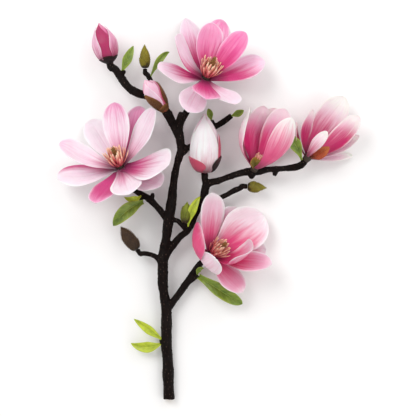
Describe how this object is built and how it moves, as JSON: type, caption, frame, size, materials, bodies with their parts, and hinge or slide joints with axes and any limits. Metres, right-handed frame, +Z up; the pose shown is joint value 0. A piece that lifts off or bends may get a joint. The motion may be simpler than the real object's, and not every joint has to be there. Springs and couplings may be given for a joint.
{
  "type": "saucer magnolia branch",
  "caption": "Cut flowering branch of saucer magnolia lying flat, with open pink blooms, closed flower buds and young leaves.",
  "frame": {"origin": "middle of the branch's footprint, on the surface it lies on", "axes": "+Y from the cut end of the stem towards the tip of the branch, +Z up from the surface it lies on, +X to the right as seen from above"},
  "size_m": [0.3608, 0.4614, 0.0893],
  "materials": {
    "bark": "matte",
    "pale_tepal": "satin",
    "pink_tepal": "satin",
    "magenta_tepal": "satin",
    "stamen": "satin",
    "pistil": "satin",
    "brown_scale": "matte",
    "olive_bud": "matte",
    "leaf": "satin",
    "young_leaf": "satin"
  },
  "bodies": {
    "root": {"wood": "bark", "left_bloom_tepals": "pale_tepal", "left_bloom_pistil": "pistil", "left_bloom_stamens": "stamen", "top_bloom_tepals": "pink_tepal", "top_bloom_pistil": "pistil", "top_bloom_stamens": "stamen", "low_bloom_tepals": "pink_tepal", "low_bloom_pistil": "pistil", "low_bloom_stamens": "stamen", "cup_bloom_tepals": "pink_tepal", "cup_bloom_pistil": "pistil", "cup_bloom_stamens": "stamen", "tip_bloom_tepals": "pink_tepal", "tip_bloom_pistil": "pistil", "tip_bloom_stamens": "stamen", "egg_bud": "pale_tepal", "left_bud": "magenta_tepal", "small_bud": "pink_tepal", "upper_leaf_bud": "olive_bud", "brown_leaf_bud": "brown_scale", "right_leaf_bud": "olive_bud", "middle_leaf_bud": "olive_bud", "left_bud_scales": "brown_scale", "small_bud_scales": "brown_scale", "cup_bloom_scale": "brown_scale", "tip_bloom_scale": "brown_scale", "bud_twig_leaf": "leaf", "upper_leaf": "leaf", "tip_leaf": "leaf", "bloom_leaf": "leaf", "small_bloom_leaf": "young_leaf", "low_leaf": "leaf", "low_leaflet": "leaf", "young_leaf_upper": "young_leaf", "young_leaf_lower": "young_leaf", "middle_leaf": "young_leaf", "side_leaf": "leaf", "side_leaf_right": "leaf"}
  },
  "joints": []
}
